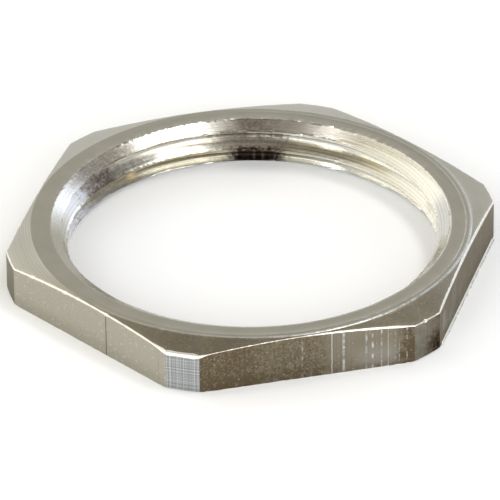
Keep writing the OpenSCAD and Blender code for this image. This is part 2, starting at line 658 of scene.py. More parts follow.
def thread_tree():
    """Geometry Nodes tree that closes a blank with the threaded wall of its hole."""
    tree = bpy.data.node_groups.new("Threaded wall", "GeometryNodeTree")
    tree.is_modifier = True
    sockets(tree, "INPUT", WALL_INPUTS)
    sockets(tree, "OUTPUT", [("Geometry", "Nut", None)])
    t = Tree(tree)
    given = t.add("NodeGroupInput").outputs
    height, soft = given["Height"], given["Edge Softness"]
    sheet, around, z = wall_grid(t, given)
    angle = t.times(around, math.tau)
    cosine, sine = t.math("COSINE", angle), t.math("SINE", angle)

    # The thread, a little off the nut's axis, and both countersinks
    thread, phase, on_crest = groove(t, given, around, z)
    off_axis = t.total(t.times(given["Offset X"], cosine), t.times(given["Offset Y"], sine))
    thread = t.math("ADD", thread, off_axis)
    below_top = t.minus(height, z)
    lower = t.minus(given["Mouth Radius"], t.times(z, given["Mouth Slope"]))
    upper = t.minus(given["Mouth Radius"], t.times(below_top, given["Mouth Slope"]))
    mouths = t.math("MAXIMUM", lower, upper)
    radius = t.math("SMOOTH_MAX", thread, lower, soft)
    radius = t.math("SMOOTH_MAX", radius, upper, soft)

    # Burr along the crests' edges, with a pattern that climbs with the thread
    inside = t.fade(t.minus(thread, mouths), -MOUTH_FADE, MOUTH_FADE)
    turns_up = t.math("ADD", t.math("ROUND", t.over(phase, given["Pitch"])), around)
    crest_bead = beads(t, given, cosine, sine, t.times(turns_up, BEADS_STEP), *CREST_BEADS)
    crest_bead = t.total(BEADS_LEAST, t.times(crest_bead, 1.0 - BEADS_LEAST))
    radius = t.minus(radius, t.times(given["Crest Burr"], on_crest, inside, crest_bead))

    # Burr that stands up round the upper mouth
    at_rim = t.math("COMPARE", below_top, 0.0, WALL_MERGE)
    rim_bead = beads(t, given, cosine, sine, BEADS_AT_RIM, *RIM_BEADS)
    toward_back = t.fade(t.math("COSINE", t.minus(angle, RIM_BURR_SIDE)), *RIM_BURR_SPREAD)
    rim_burr = t.times(given["Rim Burr"], at_rim, rim_bead, toward_back)

    # The countersinks are told apart before the wall's own place is taken
    wall = keep_value(t, sheet, "mouth", t.math("GREATER_THAN", mouths, thread))
    wall = keep_value(t, wall, "rim_burr", rim_burr)
    in_mouth = t.math("GREATER_THAN", kept_value(t, "mouth"), 0.5)
    wall = keep_value(t, wall, "countersink", in_mouth, domain="FACE")
    point = t.vector(t.times(cosine, radius), t.times(sine, radius), z)
    wall = change(t, wall, "SetPosition", {"Position": point})
    wall = t.add("GeometryNodeFlipFaces", {0: wall}).outputs[0]
    wall = change(t, wall, "SetMaterial", {"Material": given["Thread Finish"]})

    # Wall and blank become one closed mesh, and then the burr round the mouth rises
    joined = t.add("GeometryNodeJoinGeometry")
    tree.links.new(wall, joined.inputs[0])
    tree.links.new(given["Blank"], joined.inputs[0])
    nut = change(t, joined.outputs[0], "MergeByDistance", {"Distance": WALL_MERGE})
    lift = t.vector(z=kept_value(t, "rim_burr"))
    nut = change(t, nut, "SetPosition", {"Offset": lift})
    nut = change(t, nut, "SetShadeSmooth", {"Shade Smooth": True}, domain="FACE")
    fold = t.add("GeometryNodeInputMeshEdgeAngle").outputs["Unsigned Angle"]
    sharp = t.add(
        "FunctionNodeCompare",
        {"A": fold, "B": SHARP_FOLD},
        data_type="FLOAT",
        operation="GREATER_THAN",
    ).outputs[0]
    folded = {"Selection": sharp, "Shade Smooth": False}
    nut = change(t, nut, "SetShadeSmooth", folded, domain="EDGE")
    nut = change(t, nut, "RealizeInstances")
    chosen = t.math("GREATER_THAN", kept_value(t, "countersink"), 0.5)
    nut = change(
        t, nut, "SetMaterial", {"Selection": chosen, "Material": given["Mouth Finish"]}
    )
    tree.links.new(nut, t.add("NodeGroupOutput").inputs[0])
    return tree


def set_inputs(modifier, values):
    """Sets a modifier's inputs by their sockets' identifiers."""
    names = {
        item.name: item.identifier
        for item in modifier.node_group.interface.items_tree
        if item.item_type == "SOCKET" and item.in_out == "INPUT"
    }
    for name, value in values.items():
        modifier[names[name]] = value


# Shared effects of the finishes


def numbers(**defaults):
    """Rows for sockets that hold a number each."""
    return [("Float", name, default) for name, default in defaults.items()]


POINT = [("Vector", "Point", None)]
MASK = numbers(Mask=None)


def new_group(name, inputs, outputs):
    """Makes a shader group with named sockets, and returns its tree helper and its inputs."""
    tree = bpy.data.node_groups.new(name, "ShaderNodeTree")
    sockets(tree, "INPUT", inputs)
    sockets(tree, "OUTPUT", outputs)
    t = Tree(tree)
    return t, t.add("NodeGroupInput").outputs


def close_group(t, **results):
    """Links a group's results to its named outputs."""
    out = t.add("NodeGroupOutput")
    for name, value in results.items():
        t.feed(out.inputs[name], value)


def round_axis_group():
    """Distance from the axis, share of a turn and height, in millimetres."""
    t, given = new_group("Round the axis", POINT, numbers(Radius=None, Turn=None, Height=None))
    part = t.parts(given["Point"])
    flat = t.vector(part["X"], part["Y"])
    radius = t.add("ShaderNodeVectorMath", {0: flat}, operation="LENGTH").outputs["Value"]
    angle = t.over(t.math("ARCTAN2", part["Y"], part["X"]), math.tau)
    turn = t.math("FRACT", t.math("ADD", angle, 1.0))
    close_group(t, Radius=radius, Turn=turn, Height=part["Z"])


def along_flat_group():
    """Place along the nearest flat in millimetres, and that flat's number from 0 to 5."""
    t, given = new_group(
        "Along the flat", POINT + numbers(Turn=0.0), numbers(Along=None, Flat=None)
    )
    part = t.parts(given["Point"])
    flat = t.math("FLOOR", t.times(given["Turn"], 6.0))
    facing = t.times(t.math("ADD", flat, 0.5), math.pi / 3)
    along = t.minus(
        t.times(part["Y"], t.math("COSINE", facing)), t.times(part["X"], t.math("SINE", facing))
    )
    close_group(t, Along=along, Flat=flat)


# How far a patch's ragged border moves: in turns, and in millimetres of height
RAGGED_TURN, RAGGED_HEIGHT = 0.02, 0.4
# Height over which a patch fades at its upper and lower end, in millimetres
PATCH_ENDS = 0.25


def patch_group():
    """A soft-edged patch between two turns and two heights of the hole's wall."""
    t, given = new_group(
        "Wall patch",
        numbers(Turn=0.0, Height=0.0, From=0.0, To=0.1, Low=0.0, High=3.5, Soft=0.012, Ragged=0.0),
        MASK,
    )
    turn = t.math("ADD", given["Turn"], t.times(given["Ragged"], RAGGED_TURN))
    height = t.math("ADD", given["Height"], t.times(given["Ragged"], RAGGED_HEIGHT))
    full, fall = t.math("ADD", given["From"], given["Soft"]), t.minus(given["To"], given["Soft"])
    sides = t.span(turn, given["From"], full, fall, given["To"])
    full, fall = t.math("ADD", given["Low"], PATCH_ENDS), t.minus(given["High"], PATCH_ENDS)
    ends = t.span(height, given["Low"], full, fall, given["High"])
    close_group(t, Mask=t.times(sides, ends))


def mottle_group():
    """Cloudy patches with a ragged border."""
    t, given = new_group(
        "Mottle", POINT + numbers(Scale=1.0, Detail=4.0, Low=0.45, High=0.6, Seed=0.0), MASK
    )
    noise = t.noise(
        "4D",
        Vector=given["Point"],
        W=given["Seed"],
        Scale=given["Scale"],
        Detail=given["Detail"],
        Roughness=0.62,
    )
    close_group(t, Mask=t.fade(noise, given["Low"], given["High"]))


# How many lines a tool line drifts sideways along its length
LINE_DRIFT = 2.2


def lines_group():
    """Fine parallel tool lines across a distance, broken up along their length."""
    t, given = new_group(
        "Tool lines",
        POINT + numbers(Distance=0.0, Lines=8.0, Breakup=0.15, Low=0.35, High=0.65),
        numbers(Height=None),
    )
    part = t.add(
        "ShaderNodeVectorMath", {0: given["Point"], "Scale": given["Breakup"]}, operation="SCALE"
    ).outputs[0]
    drift = t.noise(Vector=part, Scale=1.0, Detail=1.0)
    across = t.total(t.times(given["Distance"], given["Lines"]), t.times(drift, LINE_DRIFT))
    noise = t.noise("1D", W=across, Scale=1.0, Detail=3.0, Roughness=0.6)
    close_group(t, Height=t.fade(noise, given["Low"], given["High"]))


def speckle_group():
    """Small scattered grains."""
    t, given = new_group("Speckle", POINT + numbers(Scale=4.0, Size=0.2, Share=0.3), MASK)
    cell = t.add("ShaderNodeTexVoronoi", {"Vector": given["Point"], "Scale": given["Scale"]})
    grain = t.fade(cell.outputs["Distance"], t.times(given["Size"], 0.5), given["Size"], 1.0, 0.0)
    pick = t.add("ShaderNodeSeparateColor", {0: cell.outputs["Color"]}).outputs[0]
    chosen = t.math("LESS_THAN", pick, given["Share"])
    close_group(t, Mask=t.times(grain, chosen))


def streak_group():
    """One fine upright line on a flat, at a place along it."""
    t, given = new_group(
        "Upright line", numbers(Along=0.0, Height=0.0, Place=0.0, Width=0.06, Broken=0.5), MASK
    )
    where = t.vector(t.times(given["Height"], 2.3), t.times(given["Place"], 9.1))
    noise = t.noise(Vector=where, Scale=1.0, Detail=3.0)
    wobble = t.times(t.minus(noise, 0.5), 0.12)
    away = t.math("ABSOLUTE", t.minus(t.minus(given["Along"], given["Place"]), wobble))
    line = t.fade(away, t.times(given["Width"], 0.4), given["Width"], 1.0, 0.0)
    kept = t.fade(noise, t.times(given["Broken"], 0.55), t.times(given["Broken"], 1.05))
    close_group(t, Mask=t.times(line, kept))


# Finishes. In the lists below, a pair is a direction in degrees and a value there


class Finish(Tree):
    """A metal finish: the Principled shader's node, and coordinates in millimetres."""

    def __init__(self, name):
        made = bpy.data.materials.new(name)
        made.use_nodes = True
        super().__init__(made.node_tree)
        self.shader = made.node_tree.nodes["Principled BSDF"]
        self.shader.inputs["Metallic"].default_value = 1.0
        place = self.add("ShaderNodeTexCoord").outputs["Object"]
        size = (1 / MM,) * 3
        self.point = self.add("ShaderNodeMapping", {"Vector": place, "Scale": size}).outputs[0]
        found = self.group("Round the axis", Point=self.point)
        self.radius, self.turn, self.height = (found[x] for x in ("Radius", "Turn", "Height"))

    def group(self, name, **values):
        """Places a shared group with its own values and gives its outputs."""
        node = self.add("ShaderNodeGroup", node_tree=bpy.data.node_groups[name])
        for key, value in values.items():
            self.feed(node.inputs[key], value)
        return node.outputs

    def mottle(self, **values):
        return self.group("Mottle", Point=self.point, **values)["Mask"]

    def lines(self, distance, **values):
        return self.group("Tool lines", Distance=distance, Point=self.point, **values)["Height"]

    def speckle(self, **values):
        return self.group("Speckle", Point=self.point, **values)["Mask"]

    def patch(self, where, soft, ragged=0.0):
        """A patch of the hole's wall: turns from and to, heights from and to."""
        start, end, low, high = where
        return self.group(
            "Wall patch",
            Turn=self.turn,
            Height=self.height,
            From=start,
            To=end,
            Low=low,
            High=high,
            Soft=soft,
            Ragged=ragged,
        )["Mask"]

    def lay(self, tone, colour, *shares):
        """Lays a colour over a tone, as far as the product of the shares."""
        node = self.add("ShaderNodeMix", {"Factor": self.times(*shares)}, data_type="RGBA")
        colours = [s for s in node.inputs if s.name in ("A", "B") and s.type == "RGBA"]
        for socket, value in zip(colours, (tone, colour)):
            self.feed(socket, value)
        return [s for s in node.outputs if s.type == "RGBA"][0]

    def round_tone(self, stops, soft=True):
        """A value that changes round the nut, by a list of pairs."""
        ramp = self.add("ShaderNodeValToRGB", {0: self.turn})
        ramp.color_ramp.interpolation = "EASE" if soft else "CONSTANT"
        if soft:
            stops = [*stops, (360, stops[0][1])]
        set_stops(ramp, [(degrees / 360, (value,) * 3) for degrees, value in stops])
        return ramp.outputs[0]

    def finish(self, colour, roughness, *heights):
        """Feeds the shader. Each height is (value, depth in millimetres)."""
        self.feed(self.shader.inputs["Base Color"], colour)
        self.feed(self.shader.inputs["Roughness"], roughness)
        relief = self.total(*(self.times(value, depth) for value, depth in heights))
        bump = self.add("ShaderNodeBump", {"Height": self.times(relief, MM), "Strength": 1.0})
        self.feed(self.shader.inputs["Normal"], bump.outputs[0])


# Radii between which the ring gives way to the cone
CONE_START = (15.8, 15.9)
# How strong the cone's tarnish, its painted light that makes it lighter on the left, and its fine
# light lines are
CONE_TARNISH = [
    (0, 0.12), (200, 0.0), (225, 0.75), (240, 1.0), (262, 0.95), (300, 0.95), (335, 0.4),
]
CONE_PAINTED_LIGHT = [
    (0, 0.02), (60, 0.1), (120, 0.12), (165, 0.2), (185, 0.17), (205, 0.1), (225, 0.0), (330, 0.0),
]
CONE_LINES = [(0, 0.1), (60, 0.12), (120, 0.2), (150, 0.4), (190, 0.45), (215, 0.1), (300, 0.05)]
# Bright lines at the ring's outer edge: radius, half width, strength
RING_LINES = ((15.77, 0.12, 0.9), (15.42, 0.07, 0.5))
# How strong those lines are round the ring, and how unbroken
RING_LINE_ROUND = [
    (0, 0.7), (50, 0.45), (90, 0.1), (130, 0.0), (222, 0.0), (245, 0.25), (262, 0.6), (285, 1.0),
    (330, 0.9),
]
RING_LINE_SMOOTH = [(0, 1.0), (60, 1.0), (100, 0.5), (200, 0.0), (300, 0.0), (330, 0.8)]


def turned_finish(colours):
    """Satin turned ring and cone. The cone is tarnished towards the front, and painted light makes
    it lighter on the left.
    """
    f = Finish("turned_nickel")
    rings = f.lines(f.radius, Lines=9.0)
    cloud = f.mottle(Scale=0.5, Low=0.3, High=0.7)
    grain = f.speckle(Scale=5.0, Size=0.28, Share=0.35)
    cone = f.fade(f.radius, *CONE_START)
    dull = f.times(cone, f.round_tone(CONE_TARNISH))
    tone = f.lay(colours.nickel, colours.bright, cloud, 0.1)
    # Painted light: the cone is made lighter on the left, where more light falls
    tone = f.lay(tone, colours.bright, cone, f.round_tone(CONE_PAINTED_LIGHT))
    tone = f.lay(tone, colours.tarnish_and_shade, dull, 0.5)
    specks = f.mottle(Scale=4.2, Detail=3.0, Low=0.46, High=0.66, Seed=21.0)
    tone = f.lay(tone, colours.brass, specks, dull, 0.42)
    tone = f.lay(tone, colours.bright, grain, dull, 0.4)
    fine = f.lines(f.radius, Lines=17.0, Breakup=0.25, Low=0.42, High=0.58)
    tone = f.lay(tone, colours.bright, fine, cone, f.round_tone(CONE_LINES))

    beads = f.mottle(Scale=3.6, Detail=3.0, Low=0.42, High=0.56, Seed=15.0)
    unbroken = f.total(0.12, f.times(f.round_tone(RING_LINE_SMOOTH), 0.6))
    rubbed = f.times(f.round_tone(RING_LINE_ROUND), f.greatest(beads, unbroken))
    for radius, width, strength in RING_LINES:
        away = f.math("ABSOLUTE", f.minus(f.radius, radius))
        line = f.fade(away, width * 0.5, width, strength, 0.0)
        tone = f.lay(tone, colours.frost, line, rubbed)
    rough = f.total(0.28, f.times(cloud, 0.05), f.times(rings, 0.05))
    f.finish(tone, rough, (rings, 0.003), (grain, 0.003))


# Numbers of the three flats that the camera sees
LEFT_FLAT, FRONT_FLAT, RIGHT_FLAT = 3.0, 4.0, 5.0
# How dark each flat is painted, partly tarnish and partly painted shade on the front and right
# flats, and how much bright grain it has
FLAT_TARNISH_AND_SHADE = [(0, 0.45), (60, 0.3), (120, 0.25), (180, 0.07), (240, 0.66), (300, 0.56)]
FLAT_GRAIN = [(0, 0.3), (180, 0.35), (240, 0.22), (300, 0.25)]
# Tint of the flats' reflections at a slant
FLAT_TINT = (0.5, 0.47, 0.44, 1.0)
# Parts of the front flat, in millimetres along it: the dark left part, both ends, a pale place
DARK_PART, NEAR_END, FAR_END = (0.5, 2.2), (-4.5, -3.0), (6.1, 7.4)
PALE_ALONG, PALE_HEIGHT = (2.4, 4.6, 6.0, 6.9), (0.0, 0.7, 1.0, 2.4)
# Upright lines on each flat: place along it, width, how broken, bright or (below zero) dark
FLAT_LINES = {
    FRONT_FLAT: (
        (1.76, 0.055, 0.3, 0.55),
        (2.6, 0.12, 0.68, 0.85),
        (4.25, 0.1, 0.72, 0.7),
        (4.7, 0.1, 0.7, 0.8),
        (5.35, 0.07, 0.74, 0.8),
        (5.85, 0.045, 0.5, 0.4),
        (6.35, 0.07, 0.76, 0.75),
        (6.65, 0.06, 0.76, 0.75),
        (7.2, 0.07, 0.8, 0.6),
        (-0.4, 0.07, 0.78, 0.6),
        (7.86, 0.06, 0.4, 0.6),
    ),
    LEFT_FLAT: ((1.76, 0.07, 0.2, -0.75), (7.09, 0.05, 0.5, -0.25)),
    RIGHT_FLAT: (
        (-2.07, 0.08, 0.75, 0.5),
        (3.74, 0.07, 0.75, 0.5),
        (0.9, 0.05, 0.8, 0.4),
        (5.6, 0.05, 0.8, 0.4),
    ),
}


def flat_finish(colours):
    """Drawn flats of the hexagon bar, tarnished in places, with painted shade darkening the front
    and right flats.
    """
    f = Finish("flat_nickel")
    found = f.group("Along the flat", Point=f.point, Turn=f.turn)
    along = found["Along"]
    on_flat = {number: f.math("COMPARE", found["Flat"], number, 0.1) for number in FLAT_LINES}
    at_left, in_front, at_right = (on_flat[x] for x in (LEFT_FLAT, FRONT_FLAT, RIGHT_FLAT))
    drawn = f.lines(f.radius, Lines=14.0, Breakup=0.3)
    upright = f.lines(along, Lines=5.0, Breakup=0.05)
    patches = f.mottle(Scale=2.0, Detail=7.0, Low=0.3, High=0.7)
    fine = f.mottle(Scale=6.0, Detail=5.0, Low=0.3, High=0.7, Seed=2.0)
    grain = f.speckle(Scale=4.0, Size=0.3, Share=0.22)

    # Darker towards the bottom and on parts of the front flat, laid over each flat's mix of
    # tarnish and painted shade
    foot = f.fade(f.height, 0.1, 1.9, 1.0, 0.0)
    darker = f.times(f.fade(along, *DARK_PART, 1.0, 0.0), in_front)
    far_end = f.times(in_front, f.fade(along, *FAR_END))
    darker_places = f.total(
        f.times(patches, foot, 0.45),
        f.times(fine, darker, 0.6),
        f.times(darker, -0.08),
        f.times(patches, darker, 0.3),
        f.times(f.fade(along, *NEAR_END, 0.2, 0.0), in_front),
        f.times(far_end, f.total(0.2, patches)),
    )
    level = f.total(0.66, f.times(fine, 0.12), f.times(upright, 0.12), f.times(patches, 0.1), darker_places)
    # Painted shade: each flat's level darkens the front and right flats, mixed with real tarnish
    rest = f.math("MULTIPLY", f.round_tone(FLAT_TARNISH_AND_SHADE, soft=False), level, clamp=True)
    tone = f.lay(colours.nickel, colours.tarnish_and_shade, rest)
    tone = f.lay(tone, colours.brass, 0.1)

    # The left flat is lighter and flecked, and the front flat has a pale place
    tone = f.lay(tone, colours.bright, at_left, f.total(0.12, f.times(fine, 0.12)))
    flecks = f.speckle(Scale=2.7, Size=0.3, Share=0.5)
    tone = f.lay(tone, colours.bright, at_left, flecks, 0.4)
    pale = f.times(in_front, f.span(along, *PALE_ALONG), f.span(f.height, *PALE_HEIGHT))
    tone = f.lay(tone, colours.frost, pale, f.total(0.08, f.times(patches, 0.14)))

    bright, dark = [], []
    for number, rows in FLAT_LINES.items():
        for place, width, broken, strength in rows:
            line = f.group(
                "Upright line",
                Along=along,
                Height=f.height,
                Place=place,
                Width=width,
                Broken=broken,
            )["Mask"]
            marks = bright if strength > 0 else dark
            marks.append(f.times(line, on_flat[number], abs(strength)))
    scored = f.greatest(*bright)
    tone = f.lay(tone, colours.frost, scored)
    tone = f.lay(tone, colours.tarnish_and_shade, f.greatest(*dark))
    tone = f.lay(tone, colours.bright, grain, f.round_tone(FLAT_GRAIN, soft=False))

    # Streaks, scratches and rubbed patches on the right flat
    streaks = f.lines(along, Lines=9.0, Breakup=1.6, Low=0.44, High=0.72)
    tone = f.lay(tone, colours.frost, streaks, at_right, 0.34)
    scratches = f.lines(along, Lines=8.0, Breakup=1.9, Low=0.5, High=0.72)
    tone = f.lay(tone, colours.tarnish_and_shade, scratches, at_right, 0.5)
    cloud = f.mottle(Scale=0.8, Detail=5.0, Low=0.48, High=0.66, Seed=19.0)
    more_left = f.fade(along, -6.0, -1.0, 1.0, 0.3)
    tone = f.lay(tone, colours.frost, cloud, at_right, more_left, 0.34)
    f.feed(f.shader.inputs["Specular Tint"], FLAT_TINT)
    rough = f.total(0.26, f.times(rest, 0.12))
    f.finish(tone, rough, (drawn, 0.002), (scored, 0.01), (fine, 0.003))


# How dark each corner is, partly tarnish and partly painted shade on the front and right corners,
# how bluish, and how clear its crossing lines are
CORNER_TARNISH_AND_SHADE = [
    (0, 0.6), (30, 0.3), (90, 0.3), (150, 0.02), (210, 0.0), (270, 0.7), (299.5, 0.8),
    (301.5, 0.95), (330, 0.6),
]
CORNER_BLUE = [(0, 0.0), (210, 1.0), (270, 0.0)]
CORNER_GRID = [(0, 0.2), (150, 0.15), (210, 1.0), (270, 0.1), (330, 0.2)]
# Tint of the corners' reflections at a slant
CORNER_TINT = (0.45, 0.42, 0.38, 1.0)
# Middle of the dark stain low on the front corner, in millimetres
CORNER_STAIN = (9.8, -14.8, 0.6)
# Way round the nut at its corners, in millimetres
CORNER_GIRTH = 112.0


def corner_finish(colours):
    """Turned corners, with crossing tool lines on some, and painted shade with tarnish on those at
    the front and right.
    """
    f = Finish("corner_nickel")
    tool = {"Lines": 8.0, "Breakup": 0.35, "Low": 0.42, "High": 0.66}
    level = f.lines(f.height, **tool)
    upright = f.lines(f.times(f.turn, CORNER_GIRTH), **tool)
    cloud = f.mottle(Scale=1.2, Detail=5.0, Low=0.4, High=0.65, Seed=4.0)
    tone = f.lay(colours.nickel, colours.steel, f.round_tone(CORNER_BLUE, soft=False))
    # Painted shade: the corners at the front and right are darker, mixed with real tarnish
    tarnish_and_shade = f.round_tone(CORNER_TARNISH_AND_SHADE, soft=False)
    tone = f.lay(tone, colours.tarnish_and_shade, tarnish_and_shade, f.total(0.7, f.times(cloud, 0.3)))
    share = f.round_tone(CORNER_GRID, soft=False)
    grid = f.total(f.times(level, 0.5), f.times(upright, 0.5))
    tone = f.lay(tone, colours.frost, grid, share, 0.8)

    spots = f.mottle(Scale=4.0, Detail=5.0, Low=0.34, High=0.6, Seed=14.0)
    near = f.add(
        "ShaderNodeVectorMath", {0: f.point, 1: CORNER_STAIN}, operation="DISTANCE"
    ).outputs["Value"]
    ragged = f.total(near, f.times(spots, -0.8))
    tone = f.lay(tone, colours.tarnish_and_shade, f.fade(ragged, 0.2, 1.3, 0.8, 0.0))
    tone = f.lay(tone, colours.soot_and_shade, f.fade(ragged, -0.35, 0.35, 0.95, 0.0))
    f.feed(f.shader.inputs["Specular Tint"], CORNER_TINT)
    f.finish(tone, 0.3, (f.times(level, share), 0.008), (f.times(upright, share), 0.006))


def lower_finish(colours):
    """Faced underside."""
    f = Finish("lower_nickel")
    rings = f.lines(f.radius, Lines=6.0)
    cloud = f.mottle(Scale=0.6, Low=0.35, High=0.7)
    tone = f.lay(colours.nickel, colours.tarnish_and_shade, cloud, 0.3)
    f.finish(tone, f.total(0.32, f.times(cloud, 0.08)), (rings, 0.004))


# How dull the worn upper edge is between its bright beads
EDGE_BEADS = [
    (0, 0.2), (180, 0.15), (234, 0.05), (244, 0.1), (248, 0.9), (272, 0.8), (277, 0.15),
    (294, 0.2), (299, 0.7), (304, 0.2),
]
# How bright the beads of burr round the upper mouth are, and the radius within which they lie
RIM_BRIGHT = [(0, 0.1), (40, 0.7), (70, 1.0), (120, 1.0), (150, 0.1), (320, 0.0)]
RIM_RADIUS = 14.6
# Heights between which the foot gives way to the side, and the painted highlight along the foot
FOOT_END, FOOT_HIGHLIGHT = (0.3, 0.4), 0.17


def edge_finish(colours):
    """Edges rubbed bright, broken up into beads at the front and round the mouth, with a painted
    highlight along the foot.
    """
    f = Finish("edge_nickel")
    beads = f.mottle(Scale=3.0, Detail=2.0, Low=0.48, High=0.58, Seed=11.0)
    rim = f.math("LESS_THAN", f.radius, RIM_RADIUS)
    off_rim = f.minus(1.0, rim)
    share = f.total(f.times(f.round_tone(EDGE_BEADS), off_rim), rim)
    bare = f.greatest(f.round_tone(RIM_BRIGHT), off_rim)
    dull = f.times(share, f.minus(1.0, f.times(beads, bare)))
    tone = f.lay(colours.polish_and_highlight, colours.nickel, dull, 0.85)
    foot = f.fade(f.height, *FOOT_END, 1.0, 0.0)
    dots = f.mottle(Scale=3.4, Detail=2.0, Low=0.5, High=0.6, Seed=12.0)
    # Painted highlight: a bright line and bright dots along the foot keep the rubbed colour
    away = f.math("ABSOLUTE", f.minus(f.height, FOOT_HIGHLIGHT))
    painted_highlight = f.greatest(f.fade(away, 0.02, 0.05, 0.6, 0.0), f.times(dots, 0.7))
    tone = f.lay(tone, colours.nickel, foot, f.minus(1.0, painted_highlight), 0.9)
    f.finish(tone, 0.42, (beads, 0.006))


# Dark stains on the wall: turns from and to (shares of a turn), heights from and to, strength
MOUTH_STAINS = (
    (0.31, 0.405, 2.5, 4.2, 0.5),
    (0.186, 0.242, 2.5, 4.2, 0.64),
)
THREAD_STAINS = (
    (0.325, 0.405, 1.4, 3.3, 0.85),
    (0.165, 0.235, 1.3, 2.2, 0.35),
    (0.17, 0.248, 2.15, 3.3, 0.7),
    (0.36, 0.42, 0.1, 1.3, 0.6),
    (0.22, 0.258, -0.4, 1.1, 0.5),
    (0.30, 0.44, -0.4, 1.2, 0.35),
    (0.48, 0.56, 2.2, 3.4, 0.5),
    (0.005, 0.035, 1.3, 2.05, 0.8),
)
# Single patches of the wall, by the same first four numbers: painted shade in the upper part of
# the groove below the countersink, a painted dark reflection and a painted golden highlight in the
# lower groove, and the dull band along the second turn of the lower flank
DEEP_GROOVE_SHADE = (0.168, 0.258, 1.9, 3.3)
DARK_REFLECTION = (0.177, 0.234, -0.6, 1.7)
PAINTED_GLINT = (0.311, 0.326, 0.3, 1.3)
BAND = (0.07, 0.2, 1.0, 2.3)
# How much of the worn colour shows on crests and roots
WORN_ROUND = [(0, 0.1), (20, 0.15), (50, 0.3), (70, 0.9), (100, 1.0), (145, 0.9), (165, 0.3)]
# Where crests, roots and upper flanks get a painted reflection, lighter for the bright floor they
# mirror
PAINTED_REFLECTION_ROUND = [(0, 1.0), (40, 0.8), (58, 0.0), (310, 0.0)]
# Where the wall is plain nickel
PLAIN_ROUND = [(0, 0.0), (152, 0.0), (163, 0.55), (174, 1.0), (300, 1.0), (345, 0.0)]
# How much bright grain the countersinks have, and the radii of the bright lip at their foot
MOUTH_GRAIN = [(0, 0.1), (60, 0.3), (100, 0.7), (140, 0.7), (160, 0.1)]
MOUTH_LIP = (13.43, 13.5)
# Parts of one turn, as shares of the pitch up from the middle of the groove: where each
# begins, is full, starts to end and ends
UPPER_FLANK = (0.05, 0.08, 0.42, 0.45)
LOWER_FLANK = (0.54, 0.575, 0.945, 0.965)
BAND_ON_FLANK = (0.6, 0.66, 0.84, 0.9)
# Way round the bore, in millimetres
BORE_GIRTH = 84.0


def wall_stains(f, rows):
    """Dark, ragged stains on the hole's wall."""
    ragged = f.minus(f.mottle(Scale=1.2, Detail=6.0, Low=0.3, High=0.7, Seed=6.0), 0.5)
    spots = f.mottle(Scale=4.5, Detail=4.0, Low=0.36, High=0.6, Seed=9.0)
    marks = [f.times(f.patch(where, 0.025, ragged), strength) for *where, strength in rows]
    spotted = f.total(0.45, f.times(spots, 0.55))
    return f.math("MULTIPLY", f.greatest(*marks), spotted, clamp=True)


def mouth_finish(colours):
    """Turned countersinks."""
    f = Finish("mouth_nickel")
    rings = f.lines(f.radius, Lines=9.0, Breakup=0.03, Low=0.4, High=0.6)
    fine = f.mottle(Scale=5.0, Detail=4.0, Low=0.4, High=0.62, Seed=8.0)
    grain = f.speckle(Scale=3.6, Size=0.24, Share=0.35)
    tone = f.lay(colours.bright, colours.nickel, f.round_tone(PLAIN_ROUND), 0.95)
    tone = f.lay(tone, colours.olive, rings, 0.28)
    tone = f.lay(tone, colours.stain, fine, 0.12)
    tone = f.lay(tone, colours.stain, wall_stains(f, MOUTH_STAINS))
    tone = f.lay(tone, colours.polish_and_highlight, grain, f.round_tone(MOUTH_GRAIN))
    tone = f.lay(tone, colours.polish_and_highlight, f.fade(f.radius, *MOUTH_LIP, 0.7, 0.0))
    f.finish(tone, 0.225, (rings, 0.0025), (grain, 0.001))


